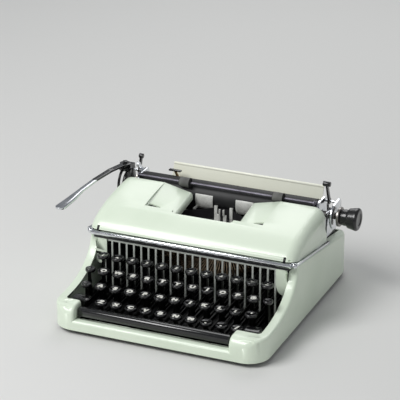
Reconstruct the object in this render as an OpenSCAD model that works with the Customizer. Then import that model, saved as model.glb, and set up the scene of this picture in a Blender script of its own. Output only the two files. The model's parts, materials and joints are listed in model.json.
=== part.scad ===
// Portable typewriter of the 1950s: enamelled shell, hinged ribbon cover, four-bank
// keyboard on levers, fanned type basket and a sliding carriage.
// Millimetres. +X right, +Y to the rear, +Z up; the origin is on the desk, in the
// middle of the four rubber feet.

/* [Body] */
// Clearance between the outermost key levers and the side frames
side_gap = 3.5; // [1.5:0.1:4.5]
// Distance from the lowest row of keys to the front face
front_margin = 31; // [30:0.5:35]
// Distance from the centre to the rear face
body_rear = 150; // [146:1:160]
// Height of the shell's lower edge above the desk
body_bottom = 6; // [5:0.5:7]
// Thickness of the shell's sheet metal
body_sheet = 2.5; // [2:0.1:3]
// Width of the rim round the well
rim_w = 11; // [9:0.5:11]
// Plan radius of the front corners
front_corner_r = 26; // [20:1:30]
// Plan radius of the rear corners
rear_corner_r = 30; // [20:1:36]
// Height of the corner blocks beside the spacebar
block_h = 35; // [32:0.5:37]
// Depth of the corner blocks
block_d = 22.5; // [20:0.5:22.5]
// Height of the apron under the spacebar
apron_h = 18; // [15:0.5:19]
// Width of the apron's top
apron_w = 8; // [6:0.5:9]
// Gap between the spacebar and the left corner block
block_gap_left = 1.5; // [1:0.5:3]
// Gap between the spacebar and the right corner block
block_gap_right = 3.5; // [1:0.5:4]
// Distance behind the centre of the arms' upright front edge, as a negative number
arm_y = -38; // [-39:0.5:-36]
// Height of the arms where the cover begins
arm_top = 85; // [83:0.5:86]
// Height of the shell's rim at the carriage
seat_rear_z = 66; // [64:0.5:66.5]

/* [Ribbon cover] */
// Thickness of the cover's sheet metal
cover_sheet = 2; // [1.5:0.1:2.5]
// Radius of the cover's long side edges
cover_edge_r = 14; // [10:0.5:18]
// How far the cover reaches over the keyboard, from the centre
cover_front = 47; // [46:0.5:49]
// Height of the cover's top
cover_top = 118.5; // [117:0.5:120]
// Distance from the centre to the cover's rear edge
cover_rear = 54; // [50:0.5:55]
// Width of the type basket opening
opening_w = 78; // [70:1:84]
// Width of the recess with the two decks
recess_w = 152; // [146:1:158]
// Depth of the decks below the cover at the opening
deck_drop = 9; // [6:0.5:12]
// Height of the chrome moulding along the front
moulding_h = 6; // [4:0.5:7]
// Height of the chrome strips along the sides
strip_h = 3; // [2:0.5:3.5]

/* [Keyboard] */
// Distance from key to key
key_pitch = 19.05; // [18.8:0.05:19.2]
// Diameter of a keytop
key_d = 15; // [14:0.1:15.5]
// Height step from row to row
row_rise = 10.8; // [10:0.1:11.5]
// Height of the lowest row's keytops
key_z = 34; // [33:0.5:36]
// Clearance between the number row's keytops and the moulding behind them
row_gap = 7; // [1:0.5:9]
// Thickness of a key lever
lever_t = 1.6; // [1.2:0.1:1.8]
// Depth of a key lever's blade
lever_h = 5; // [4:0.5:5.5]
// Radius of the shaft that the levers turn on
key_shaft_r = 3; // [2.5:0.1:3.5]
// Radial clearance of every running fit
run_gap = 0.05; // [0.03:0.01:0.08]
// Length of the spacebar
spacebar_l = 190; // [184:1:194]
// Distance from the centre to the middle of the spacebar, as a negative number
spacebar_x = -6.5; // [-8:0.5:-5]

/* [Type basket] */
// Number of typebars
bar_count = 44; // [40:1:46]
// Angle between two typebars
bar_step = 2.32; // [2.28:0.01:2.4]
// Thickness of a typebar
bar_t = 0.8; // [0.6:0.05:0.9]
// Radius of the arc on which the typebars turn
segment_r = 34; // [33:0.5:36]
// Slope of the fan towards the front, in degrees
fan_tilt = 8; // [6:0.5:9]
// Depth of the fan below the printing point
fan_drop = 46; // [44:0.5:47]

/* [Carriage] */
// Radius of the platen
platen_r = 17; // [16:0.25:17.5]
// Length of the platen
platen_l = 228; // [220:1:229]
// Distance from the centre to the platen's axis
platen_y = 77; // [76.5:0.5:79]
// Height of the platen's axis
platen_z = 101; // [100.5:0.5:102]
// Radius of the platen's shaft
shaft_r = 4; // [3:0.25:5]
// Radius of the platen knob
knob_r = 14; // [12:0.5:16]
// Width of the platen knob
knob_w = 23; // [18:1:26]
// Radius of the two bail rollers
bail_roller_r = 6.2; // [5:0.2:6.6]
// Thickness of the carriage's end plates
end_plate_t = 3; // [2:0.25:3.5]

/* [Frame and feet] */
// Distance between the feet across the machine
foot_spacing_x = 222; // [212:1:224]
// Distance between the feet along the machine
foot_spacing_y = 261; // [258:1:266]
// Radius of a rubber foot
foot_r = 10; // [8:0.5:10]
// Radius of the hold-down holes in the feet
foot_hole_r = 2.5; // [2:0.1:3]
// Thickness of the base pan
pan_t = 1.6; // [1.2:0.1:2]
// Thickness of the side frames
frame_t = 3; // [2:0.25:3]

/* [Hidden] */
$fn = 48;
FN_BIG = 96;      // large turned pieces
FN_KEY = 32;      // keytops
eps = 0.01;
gap = 0.3;        // clearance between pieces that move past each other
quarter = key_pitch / 4;
first_x = -5.5 * key_pitch;      // first key of the number row
function side_lever_x(k) = first_x + k * quarter;
margin_lever_x = side_lever_x(-2);
half_w = -margin_lever_x + lever_t / 2 + side_gap + frame_t + 1 + rim_w;
moulding_y = -cover_front - 2;   // front of the moulding
row_y = moulding_y - row_gap - key_d / 2 - 3 * key_pitch;
front_y = row_y - front_margin;
rear_y = body_rear;
notch_left = spacebar_l / 2 - spacebar_x + block_gap_left;
notch_right = spacebar_l / 2 + spacebar_x + block_gap_right;

// The rim's top line falls in a straight line from the arms to the carriage.
seat_rear_y = 87;
seat_slope = (seat_rear_z - arm_top) / (seat_rear_y - arm_y);
function seat_z(y) = arm_top + (y - arm_y) * seat_slope;

// Curves
function bezier(a, b, c, d, n) =
    [for (i = [0:n]) let (t = i / n, u = 1 - t)
        u * u * u * a + 3 * u * u * t * b + 3 * u * t * t * c + t * t * t * d];
function arc(c, r, a0, a1, n) = [for (i = [0:n]) let (a = a0 + (a1 - a0) * i / n) c + r * [cos(a), sin(a)]];

// A solid extruded along X from a profile drawn in Y and Z
module along_x(x0, x1) {
    translate([x0, 0, 0]) rotate([90, 0, 90]) linear_extrude(x1 - x0) children();
}
// A round bar along X
module bar_x(x0, x1, y, z, r) {
    translate([x0, y, z]) rotate([0, 90, 0]) cylinder(r = r, h = x1 - x0);
}
// A box between two corners
module box(a, b) {
    translate(a) cube(b - a);
}
// The same on the right and on the left
module both_sides() {
    children();
    mirror([1, 0, 0]) children();
}

// ---------------------------------------------------------------- shell
// Plan of the shell, drawn inward by i
module plan(i) {
    rf = front_corner_r - i;
    rr = rear_corner_r - i;
    x = half_w - i;
    polygon(concat(
        arc([-x + rf, front_y + i + rf], rf, 180, 270, 10),
        arc([x - rf, front_y + i + rf], rf, 270, 360, 10),
        arc([x - rr, rear_y - i - rr], rr, 0, 90, 8),
        arc([-x + rr, rear_y - i - rr], rr, 90, 180, 8)));
}
// Side view of the shell: corner block, swept arm, falling rim, rounded rear
block_edge_r = 12;
sweep_y = front_y + block_d + 4.5;   // where the arms begin to rise
rear_edge_r = 16;
rear_top = seat_z(rear_y);
module side_view() {
    polygon(concat(
        [[front_y, body_bottom - 20], [front_y, block_h - block_edge_r]],
        arc([front_y + block_edge_r, block_h - block_edge_r], block_edge_r, 180, 90, 8),
        bezier([sweep_y, block_h], [sweep_y + 48, block_h],
            [arm_y, arm_top - 33], [arm_y, arm_top], 18),
        arc([rear_y - rear_edge_r, rear_top - rear_edge_r], rear_edge_r, 84, 0, 6),
        [[rear_y, body_bottom - 20]]));
}
// The solid form of the shell with its skin taken off by i
module shell_form(i) {
    intersection() {
        translate([0, 0, body_bottom - (i > 0 ? 1 : 0)]) linear_extrude(120) plan(i);
        difference() {
            along_x(-half_w, half_w) offset(delta = -i) side_view();
            box([-notch_left - i, front_y - 1, apron_h - i],
                [notch_right + i, front_y + block_d + 12, block_h + 10]);
        }
    }
}
well_r = 4;
module well_plan() {
    offset(r = well_r) offset(delta = -well_r) {
        translate([-half_w + rim_w, front_y + block_d])
            square([2 * (half_w - rim_w), rear_y - rim_w - front_y - block_d]);
        translate([-notch_left, front_y + apron_w])
            square([notch_left + notch_right, block_d + 12]);
    }
}
// Cheeks between the arms and the number row, in front of the lever comb
cheek_t = 1.6;
cheek_in = -side_lever_x(-0.8);  // their inner edge, clear of the first lever
cheek_foot = 50;
module cheek_view() {
    x = half_w - rim_w;
    top = rail_top - rail_d - gap;
    polygon(concat([[cheek_in, top], [x - gap, top], [x - gap, cheek_foot + 14],
        [x + 2, cheek_foot + 12], [x + 2, cheek_foot]],
        bezier([x - 4, cheek_foot - 5], [x - 8, cheek_foot - 4], [cheek_in, cheek_foot - 2],
            [cheek_in, cheek_foot + 12], 8)));
}
module body_shell() {
    color([0.82, 0.87, 0.80]) {
        difference() {
            shell_form(0);
            shell_form(body_sheet);
            linear_extrude(130) well_plan();
        }
        both_sides() translate([0, comb_y - gap, 0]) rotate([90, 0, 0])
            linear_extrude(cheek_t) cheek_view();
    }
}

// ---------------------------------------------------------------- trim
moulding_d = 4;
moulding_top = seat_z(-cover_front) + 1.6;
rail_top = moulding_top - 0.6;
rail_d = 9;
rail_back = arm_y - 0.6;
bracket_x = half_w - 15.5;       // inner face of a hinge bracket
bracket_t = 2;
module front_rail() {
    color([0.55, 0.56, 0.55])
        along_x(-half_w + 8, half_w - 8)
            polygon([[moulding_y + moulding_d, rail_top - rail_d], [rail_back, rail_top - rail_d],
                [rail_back, rail_top - 2], [moulding_y + moulding_d, rail_top]]);
    // brackets with the cover's hinge pins
    color([0.55, 0.56, 0.55]) both_sides() {
        bar_x(bracket_x - 12, bracket_x + bracket_t, hinge_y, hinge_z, hinge_pin_r);
        bar_x(bracket_x, bracket_x + bracket_t, hinge_y, hinge_z, bead_r);
        box([bracket_x, hinge_y, rail_top - 3], [bracket_x + bracket_t, hinge_y + bead_r, hinge_z]);
    }
}
// Half-round chrome moulding along the front, with a boss at each corner
module moulding_section() {
    intersection() {
        translate([moulding_y + moulding_h / 2, moulding_top - moulding_h / 2])
            circle(r = moulding_h / 2);
        translate([moulding_y, moulding_top - moulding_h]) square([moulding_d, moulding_h]);
    }
}
strip_out = 1.4;                 // how far the side strips stand out
boss_r = moulding_h / 2 + 0.6;
module cover_trim() {
    strip_end = channel_front - 1;   // the carriage passes behind the strips
    color([0.86, 0.88, 0.90]) {
        along_x(-half_w + 6, half_w - 6) moulding_section();
        both_sides() {
            // corner boss
            translate([half_w - 3, moulding_y + 5.5, moulding_top - moulding_h / 2]) rotate([0, 90, 0])
                rotate_extrude() polygon(arc([0, 0], boss_r, -90, 90, 10));
            // strip on the rim along the side
            along_x(half_w - 6, half_w + strip_out)
                polygon([for (p = [[moulding_y + 5, gap], [strip_end, gap], [strip_end, strip_h],
                    [moulding_y + 5, strip_h]]) [p[0], seat_z(p[0]) + p[1] - gap]]);
        }
    }
}

// ---------------------------------------------------------------- ribbon cover
hinge_y = -cover_front + 2.2;
hinge_z = seat_z(-cover_front) + strip_h + 1.5;
bead_r = 2.2;                    // rolled front edge that holds the hinge pins
hinge_pin_r = 1;
cover_half = half_w - 1;
cover_low = strip_h + gap;       // height of the cover's lower edge above the rim line
// Outer curve of the cover from its front edge to the rear, in Y and Z
panel = bezier([-cover_front, seat_z(-cover_front) + 4.5], [-cover_front + 7, cover_top - 13],
    [-6, cover_top - 1.5], [cover_rear + 4, cover_top + 0.5], 14);
// The curve's inward normal at point i
function inward(i) = let (a = panel[max(i - 1, 0)], b = panel[min(i + 1, 14)], d = (b - a) / norm(b - a))
    [d[1], -d[0]];
// The rounded form of the cover, r is the radius of its edges
module cover_form(r) {
    hull() for (i = [0:14], s = [-1, 1]) {
        c = panel[i] + inward(i) * cover_edge_r;
        translate([s * (cover_half - cover_edge_r), c[0], c[1]]) sphere(r = r, $fn = 32);
        translate([s * (cover_half - cover_edge_r), c[0], c[1] - 50]) cylinder(r = r, h = 50, $fn = 32);
    }
}
// Side view of the cover: above the rim, scalloped at the rear for the carriage
scallop_r = platen_r + 6.5;
side_rear = 66;
module cover_side() {
    difference() {
        polygon([[-cover_front - 20, seat_z(-cover_front - 20) + cover_low],
            [side_rear, seat_z(side_rear) + cover_low], [side_rear, seat_z(side_rear) + 14],
            [cover_rear, platen_z + 8],
            [cover_rear, cover_top + 20], [-cover_front - 20, cover_top + 20]]);
        translate([platen_y, platen_z]) circle(r = scallop_r);
    }
}
recess_front = -6;
deck_slope = 9;                  // slope of the decks to the front, in degrees
deck_z = cover_top - 7.5;        // height of the decks at the front of the recess
deck_end_r = 5;
slot_l = 16;                     // finger slots at the ends of the recess
slot_d = 9;
slot_in = 1;
slot_back = 3;
opening_half = opening_w / 2;
recess_half = recess_w / 2;
// Section of one deck in X and Z: it falls to the opening and curls down
module deck_section() {
    a = [recess_half + 1, -1.5];
    b = [opening_half + deck_end_r, -deck_drop];
    outer = concat([a, b], arc([b[0], b[1] - deck_end_r], deck_end_r, 90, 180, 8),
        [[opening_half, b[1] - 9]]);
    inner = concat([[opening_half + cover_sheet, b[1] - 9]],
        arc([b[0], b[1] - deck_end_r], deck_end_r - cover_sheet, 180, 90, 8),
        [b - [0, cover_sheet], a - [0, cover_sheet]]);
    polygon(concat(outer, inner));
}
module tilted_y(y0, y1) {
    translate([0, recess_front, deck_z]) rotate([deck_slope, 0, 0])
        translate([0, y1 - recess_front, 0]) rotate([90, 0, 0]) linear_extrude(y1 - y0) children();
}
module ribbon_cover() {
    color([0.82, 0.87, 0.80]) {
        difference() {
            union() {
                difference() {
                    intersection() {
                        cover_form(cover_edge_r);
                        along_x(-half_w, half_w) cover_side();
                    }
                    cover_form(cover_edge_r - cover_sheet);
                    // recess for the decks
                    box([-recess_half, recess_front, cover_top - 40],
                        [recess_half, cover_rear + 20, cover_top + 20]);
                    // front of the type basket opening
                    translate([0, recess_front, cover_top - 40]) linear_extrude(80)
                        offset(r = 4) square([opening_w - 8, 4], center = true);
                }
                // decks on both sides of the opening
                intersection() {
                    both_sides() tilted_y(recess_front - cover_sheet, cover_rear + 10) deck_section();
                    box([-half_w, recess_front - cover_sheet, 0], [half_w, cover_rear, 200]);
                }
                // riser from the decks up to the front of the recess, and cheeks at its ends
                intersection() {
                    cover_form(cover_edge_r - eps);
                    both_sides() {
                        box([opening_half + 1, recess_front - cover_sheet, deck_z - deck_drop - 3],
                            [recess_half + cover_sheet, recess_front, deck_z + 5]);
                        box([recess_half, recess_front - cover_sheet, deck_z - 4],
                            [recess_half + cover_sheet, cover_rear, 200]);
                    }
                }
                // rolled front edge
                bar_x(-half_w + 18, half_w - 18, hinge_y, hinge_z, bead_r);
            }
            // bores for the hinge pins
            both_sides() bar_x(bracket_x - 14, half_w, hinge_y, hinge_z, hinge_pin_r + run_gap);
            // notches for the hinge brackets
            both_sides() box([bracket_x - 0.6, -cover_front - 10, 60],
                [bracket_x + bracket_t + 0.6, hinge_y + 6, hinge_z + 3.5]);
            // finger slots at the ends of the recess
            both_sides() translate([recess_half - slot_l / 2 - slot_in, recess_front + slot_d / 2 + slot_back,
                deck_z - 12]) linear_extrude(30)
                    offset(r = slot_d / 2) square([slot_l - slot_d, eps], center = true);
        }
    }
}
// ---------------------------------------------------------------- frame and feet
cross_y = 96;
drum_x = -92;
drum_z = 34;
drum_r = 16;
bell_x = 60;
bell_y = 122;
bell_z = 34;
bell_r = 16;
bell_t = 1.5;
bell_post_r = 2.5;
// The post's rim touches the inside of the bell's dome.
bell_seat_z = bell_z - bell_r / 2 + sqrt(pow(bell_r - bell_t, 2) - pow(bell_post_r, 2)) - run_gap;
slide_x = 8.5 * key_pitch / 4;   // the basket's posts stand in a gap between two levers
slide_w = 2.2;
slide_y = 44;
slide_d = 8;
pan_top = body_bottom + pan_t;
tray_low = 1.4;
tray_t = 1.2;
frame_x = half_w - rim_w - 1;    // outer face of a side frame
foot_h = body_bottom;
module foot_places() {
    for (x = [-1, 1], y = [-1, 1])
        translate([x * foot_spacing_x / 2, y * foot_spacing_y / 2, 0]) children();
}
// Windows in the pan: below the keyboard and below the carriage
module tray_plan() {
    window_y = shift_y - 3;
    translate([-frame_x + 22, front_y + 10]) square([2 * frame_x - 44, window_y - front_y - 10 + eps]);
    translate([-frame_x + frame_t, window_y]) square([2 * (frame_x - frame_t), tray_end - window_y]);
}
module pan_windows() {
    tray_plan();
    translate([-frame_x + 20, 0]) square([2 * frame_x - 40, slide_y - 2]);
    translate([-frame_x + 20, slide_y + slide_d + 2]) square([2 * frame_x - 40, 40]);
}
side_frame_front = -34;
tray_end = -16;                  // the pressed levers are clear of the pan from here on
rail_y_front = 72;
rail_y_rear = 118;
rail_h = 4;
rail_w = 8;
rail_top_z = 70;
module side_frame_view() {
    top = seat_z(rear_y) - body_sheet - 3;
    polygon([[side_frame_front, body_bottom], [rear_y - 22, body_bottom], [rear_y - 18, top],
        [rail_y_rear + 6, top], [rail_y_rear + 6, rail_top_z - rail_h],
        [guide_y - 4, rail_top_z - rail_h], [guide_y - 8, 58], [-10, 58], [side_frame_front, 34]]);
}
// Sunk tray under the front half of the levers
module tray() {
    depth = pan_top - tray_low;
    translate([0, 0, tray_low]) difference() {
        linear_extrude(depth) offset(delta = tray_t) tray_plan();
        translate([0, 0, tray_t]) linear_extrude(depth) tray_plan();
        foot_places() cylinder(r = foot_r + gap, h = body_bottom - tray_low);
    }
}
module base_frame() {
    color([0.30, 0.31, 0.32]) difference() {
        union() {
            translate([0, 0, body_bottom]) linear_extrude(pan_t) difference() {
                plan(body_sheet);
                pan_windows();
            }
            tray();
            both_sides() difference() {
                along_x(frame_x - frame_t, frame_x) side_frame_view();
                // lightening hole
                bar_x(frame_x - frame_t - 1, frame_x + 1, 100, 36, 14);
            }
            // cross member behind the type basket, with the pin of the mainspring drum
            box([-frame_x, cross_y, pan_top - eps], [frame_x, cross_y + 3, 44]);
            translate([drum_x, cross_y + 2, drum_z]) rotate([-90, 0, 0]) cylinder(r = 2, h = 16);
            // posts that guide the type basket, standing between the levers
            for (x = [-1, 1]) translate([x * slide_x - slide_w / 2, slide_y, pan_top - eps])
                cube([slide_w, slide_d, 62 - pan_top]);
            // post of the bell
            translate([bell_x, bell_y, pan_top - eps]) cylinder(r = bell_post_r, h = bell_seat_z - pan_top);
        }
        foot_places() translate([0, 0, -1]) cylinder(r = foot_hole_r, h = 20);
        // seats of the key shaft
        bar_x(-half_w, half_w, key_axis_y, key_axis_z, key_shaft_r);
    }
}
module rubber_feet() {
    color([0.10, 0.10, 0.10]) foot_places() difference() {
        rotate_extrude() polygon(concat([[0, 0], [foot_r - 1.5, 0]],
            arc([foot_r - 1.5, 1.5], 1.5, -90, 0, 4), [[foot_r - 1, foot_h], [0, foot_h]]));
        translate([0, 0, -1]) cylinder(r = foot_hole_r, h = foot_h + 2);
    }
}
// Round-headed screws that hold the shell to the pan, and the carriage rails to the frame
module frame_screws() {
    color([0.62, 0.62, 0.60]) for (x = [-1, 1], y = [rail_y_front, rail_y_rear])
        translate([x * (frame_x - 10), y, rail_top_z - rail_h - 2]) rotate_extrude()
            polygon([[0, 0], [3, 0], [3, 1], [2, 2], [0, 2]]);
}
module carriage_rails() {
    color([0.70, 0.71, 0.72]) for (y = [rail_y_front, rail_y_rear])
        box([-frame_x, y - rail_w / 2, rail_top_z - rail_h], [frame_x, y + rail_w / 2, rail_top_z]);
}

// ---------------------------------------------------------------- keyboard
key_axis_y = 62;
key_axis_z = 24;
lever_low = 14;                  // underside of the levers' front ends
keytop_h = 4.5;
// Rows from the number row (0) to the lowest (3): count, first column, height, place
row_count = [12, 11, 11, 10];
row_shift = [0, 2, 3, 5];
function row_place(r) = row_y + (3 - r) * key_pitch;
function row_height(r) = key_z + (3 - r) * row_rise;
function key_x(r, i) = first_x + row_shift[r] * quarter + i * key_pitch;

// Round dished keytop, its top face at the origin
module keytop(d = key_d) {
    translate([0, 0, -keytop_h]) rotate_extrude($fn = FN_KEY)
        polygon(concat([[0, 0], [d / 2 - 1.2, 0], [d / 2, 1.2], [d / 2, keytop_h - 1.4]],
            arc([d / 2 - 1.4, keytop_h - 1.4], 1.4, 15, 105, 4),
            [[d / 2 - 3.2, keytop_h - 0.7], [0, keytop_h - 1.1]]));
}
// Oblong keytop for the shift keys
module wide_keytop(w, d) {
    translate([0, 0, -keytop_h]) linear_extrude(keytop_h - 0.6)
        offset(r = 4) square([w - 8, d - 8], center = true);
    translate([0, 0, -0.6]) linear_extrude(0.6)
        offset(r = 3.4) square([w - 8, d - 8], center = true);
}
// Lever from the common shaft to a stem under the keytop
module key_lever(x, y, z) {
    stem_w = 5;
    difference() {
        along_x(x - lever_t / 2, x + lever_t / 2) union() {
            polygon([[key_axis_y, key_axis_z - lever_h], [key_axis_y, key_axis_z + lever_h],
                [key_axis_y - 30, lever_low + lever_h + 4], [y + 6, lever_low + lever_h],
                [y + stem_w / 2, z - keytop_h], [y - stem_w / 2, z - keytop_h],
                [y - stem_w / 2, lever_low], [y + 6, lever_low], [key_axis_y - 30, lever_low + 3]]);
            translate([key_axis_y, key_axis_z]) circle(r = key_shaft_r + 3);
        }
        bar_x(x - lever_t, x + lever_t, key_axis_y, key_axis_z, key_shaft_r + run_gap);
    }
}
module letter_key(r, i) {
    x = key_x(r, i);
    y = row_place(r);
    z = row_height(r);
    color([0.72, 0.73, 0.74]) key_lever(x, y, z);
    color([0.07, 0.07, 0.08]) translate([x, y, z]) keytop();
}
module key_row(r) {
    for (i = [0:row_count[r] - 1]) letter_key(r, i);
}
module number_row_keys() { key_row(0); }
module upper_row_keys() { key_row(1); }
module lower_row_keys() { key_row(3); }

// Keys beside the letter rows, whose levers run outside the others
shift_w = 20;
shift_d = 14;
shift_y = row_y + 3;
shift_bail_y = key_axis_y + 16;
module shift_lever(x, lx) {
    color([0.72, 0.73, 0.74]) {
        key_lever(lx, shift_y, key_z);
        difference() {
            along_x(lx - lever_t / 2, lx + lever_t / 2)
                polygon([[key_axis_y, key_axis_z - 4], [shift_bail_y + 4, key_axis_z - 4],
                    [shift_bail_y + 4, key_axis_z + 4], [key_axis_y, key_axis_z + 4]]);
            bar_x(lx - lever_t, lx + lever_t, key_axis_y, key_axis_z, key_shaft_r + run_gap);
        }
    }
    color([0.07, 0.07, 0.08]) translate([x, shift_y, key_z]) wide_keytop(shift_w, shift_d);
}
shift_left_x = side_lever_x(-1);
shift_right_x = side_lever_x(45);
// The left lever carries the bail that joins both shift keys
module shift_left() {
    shift_lever(shift_left_x + 2.5, shift_left_x);
    shift_bail();
    // cheeks that guide the stem of the shift lock
    color([0.72, 0.73, 0.74]) for (s = [-1, 1])
        translate([lock_x + s * (lock_stem_t / 2 + gap + 0.5) - 0.5, lock_y - 2.5, lever_low + lever_h - 0.5])
            cube([1, 5, 12]);
}
module shift_right() { shift_lever(shift_right_x - 0.5, shift_right_x); }
module shift_bail() {
    color([0.62, 0.63, 0.64])
        bar_x(shift_left_x + lever_t / 2, shift_right_x - lever_t / 2, shift_bail_y, key_axis_z, 2.5);
}
// A small round key on a side lever; its stem leans inward under the keytop
small_key_d = 12;
module side_key(x, lx, r) {
    y = row_place(r);
    z = row_height(r);
    color([0.72, 0.73, 0.74]) {
        key_lever(lx, y, z - 1.5);
        box([min(x, lx) - lever_t / 2, y - 2.5, z - keytop_h - 1.5],
            [max(x, lx) + lever_t / 2, y + 2.5, z - keytop_h]);
    }
    color([0.07, 0.07, 0.08]) translate([x, y, z]) keytop(small_key_d);
}
back_lever_x = side_lever_x(46);
module margin_release_key() { side_key(margin_lever_x + 1.5, margin_lever_x, 1); }
module backspace_key() { side_key(back_lever_x - 1.0, back_lever_x, 1); }
// The shift lock stands on the left shift lever
lock_x = shift_left_x + 0.6;
lock_travel = 3;
lock_stem_t = 1.2;
lock_y = row_place(2);
lock_z = row_height(2);
module shift_lock_key() {
    color([0.72, 0.73, 0.74])
        box([lock_x - lock_stem_t / 2, lock_y - 2.5, lever_low + lever_h + lock_travel + 1.5],
            [lock_x + lock_stem_t / 2, lock_y + 2.5, lock_z - keytop_h]);
    color([0.07, 0.07, 0.08]) translate([lock_x, lock_y, lock_z]) keytop(small_key_d);
}
// Spacebar on two arms that run between the levers
spacebar_gap = 2;
spacebar_top = 30;
spacebar_d = 10;
spacebar_y = front_y + apron_w + spacebar_gap + spacebar_d / 2;
spacebar_h = 9;
arm_t = 1.2;
arm_places = [first_x + 5.5 * quarter, first_x + 35.5 * quarter];
module spacebar() {
    spacebar_arms();
    color([0.07, 0.07, 0.08])
        along_x(spacebar_x - spacebar_l / 2, spacebar_x + spacebar_l / 2)
            translate([spacebar_y, spacebar_top - spacebar_h]) polygon(concat(
                [[-spacebar_d / 2, 0], [spacebar_d / 2, 0], [spacebar_d / 2, spacebar_h - 2]],
                arc([spacebar_d / 2 - 2, spacebar_h - 2], 2, 0, 90, 4),
                arc([-spacebar_d / 2 + 4, spacebar_h - 4], 4, 90, 180, 6)));
}
module spacebar_arms() {
    color([0.72, 0.73, 0.74]) for (x = arm_places) difference() {
        along_x(x - arm_t / 2, x + arm_t / 2) union() {
            polygon([[key_axis_y, key_axis_z - 4], [key_axis_y, key_axis_z + 4],
                [key_axis_y - 30, lever_low + lever_h + 4], [spacebar_y + 3, lever_low + lever_h - 1],
                [spacebar_y + 3, spacebar_top - spacebar_h], [spacebar_y - 3, spacebar_top - spacebar_h],
                [spacebar_y - 3, lever_low], [key_axis_y - 30, lever_low + 3]]);
            translate([key_axis_y, key_axis_z]) circle(r = key_shaft_r + 3);
        }
        bar_x(x - arm_t, x + arm_t, key_axis_y, key_axis_z, key_shaft_r + run_gap);
    }
}
module key_shaft() {
    color([0.66, 0.67, 0.68])
        bar_x(-frame_x, frame_x, key_axis_y, key_axis_z, key_shaft_r);
}
// Comb behind the keys that guides the levers in pairs
comb_y = moulding_y + moulding_d + 1.5;
comb_t = 1.5;
tooth_w = 2.2;
module lever_comb() {
    color([0.80, 0.81, 0.82]) {
        for (k = [-1.5:2:47])
            box([first_x + k * quarter - tooth_w / 2, comb_y, lever_low - 2],
                [first_x + k * quarter + tooth_w / 2, comb_y + comb_t, rail_top - rail_d]);
        box([-frame_x, comb_y, rail_top - rail_d - 3], [frame_x, comb_y + comb_t, rail_top - rail_d]);
    }
}

// ---------------------------------------------------------------- type basket
print_gap = 1.2;                 // the types stop this far in front of the platen
print_point = [0, platen_y - platen_r - print_gap, platen_z];
fan_axis = [0, sin(fan_tilt), -cos(fan_tilt)];
fan_centre = print_point + fan_axis * fan_drop;
bar_l = norm([fan_drop, segment_r]);      // from the pivot to the type's face
type_h = 5;                      // the face lies this far above the bar's middle
type_x = sqrt(bar_l * bar_l - type_h * type_h);
strike_angle = 180 - atan(fan_drop / segment_r) - atan(type_h / type_x);
slug_angle = 180 + fan_tilt - strike_angle;
bar_h = 4;
type_w = 2.6;
mid_bar = 22;
function bar_angle(i) = (i - mid_bar) * bar_step;
// Places its children with X outward along bar i and Z square to the fan
module at_bar(i) {
    translate(fan_centre) rotate([fan_tilt, 0, 0]) rotate([0, 0, -90 + bar_angle(i)])
        translate([segment_r, 0, 0]) children();
}
module typebar(i) {
    at_bar(i) difference() {
        union() {
            rotate([90, 0, 0]) linear_extrude(bar_t, center = true)
                polygon([[-3, -2.5], [8, -bar_h / 2], [type_x - 4, -bar_h / 2], [type_x - 0.5, 0],
                    [type_x - 1.5, bar_h / 2], [14, bar_h / 2], [5, 3], [-3, 2.5]]);
            // type slug, square to the platen at the printing point
            translate([type_x, 0, type_h]) rotate([0, 90 - slug_angle, 0])
                translate([-3.2, -type_w / 2, -4.5]) cube([6.4, type_w, 4.5]);
        }
        rotate([90, 0, 0]) cylinder(r = bar_pin_r + run_gap, h = 4, center = true, $fn = 24);
    }
}
bar_pin_r = 1;
segment_in = 4;
groove_in = 6.7;
segment_t = 9;
module typebars() {
    color([0.62, 0.58, 0.50]) for (i = [0:bar_count - 1]) if (i != mid_bar) typebar(i);
}
module striking_typebar() {
    color([0.62, 0.58, 0.50]) typebar(mid_bar);
}
fan_start = -90 + bar_angle(0) - 4;
fan_sweep = (bar_count - 1) * bar_step + 8;
// Turns an outline given by radius and height round the fan's centre
module fan_ring() {
    translate(fan_centre) rotate([fan_tilt, 0, 0]) rotate([0, 0, fan_start])
        rotate_extrude(angle = fan_sweep) children();
}
rest_r = segment_r + bar_l - 8;
module type_segment() {
    slot_w = bar_t + 0.36;
    rest_top = -bar_h / 2 - gap;
    color([0.55, 0.56, 0.57]) {
        difference() {
            fan_ring() difference() {
                translate([segment_r - segment_in - 5, -segment_t / 2]) square([segment_in + 9, segment_t]);
                translate([segment_r, 0]) circle(r = bar_pin_r, $fn = 24);
            }
            for (i = [0:bar_count - 1]) at_bar(i)
                translate([-segment_in, -slot_w / 2, -segment_t])
                    cube([2 * segment_in + 12, slot_w, 2 * segment_t]);
            // groove that the risen bars dip into
            fan_ring() translate([segment_r - groove_in, 0.3])
                square([groove_in - segment_in + 0.2, segment_t]);
        }
        // rest that carries the typebars, on an arm at each end of the fan
        fan_ring() translate([rest_r, rest_top - 2]) square([4, 2]);
        for (a = [fan_start + 1, fan_start + fan_sweep - 1])
            translate(fan_centre) rotate([fan_tilt, 0, 0]) rotate([0, 0, a])
                translate([segment_r - 3, -1, rest_top - 2]) cube([rest_r - segment_r + 5, 2, 3.5]);
        // yoke that slides on the two posts of the frame
        yoke_x = slide_x - slide_w / 2 - gap;
        box([-yoke_x, slide_y + 3, fan_centre[2] - 7], [yoke_x, slide_y + 7, fan_centre[2] + 1]);
    }
    // wire through all typebars
    color([0.70, 0.71, 0.72]) fan_ring() translate([segment_r, 0]) circle(r = bar_pin_r, $fn = 24);
}

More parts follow.
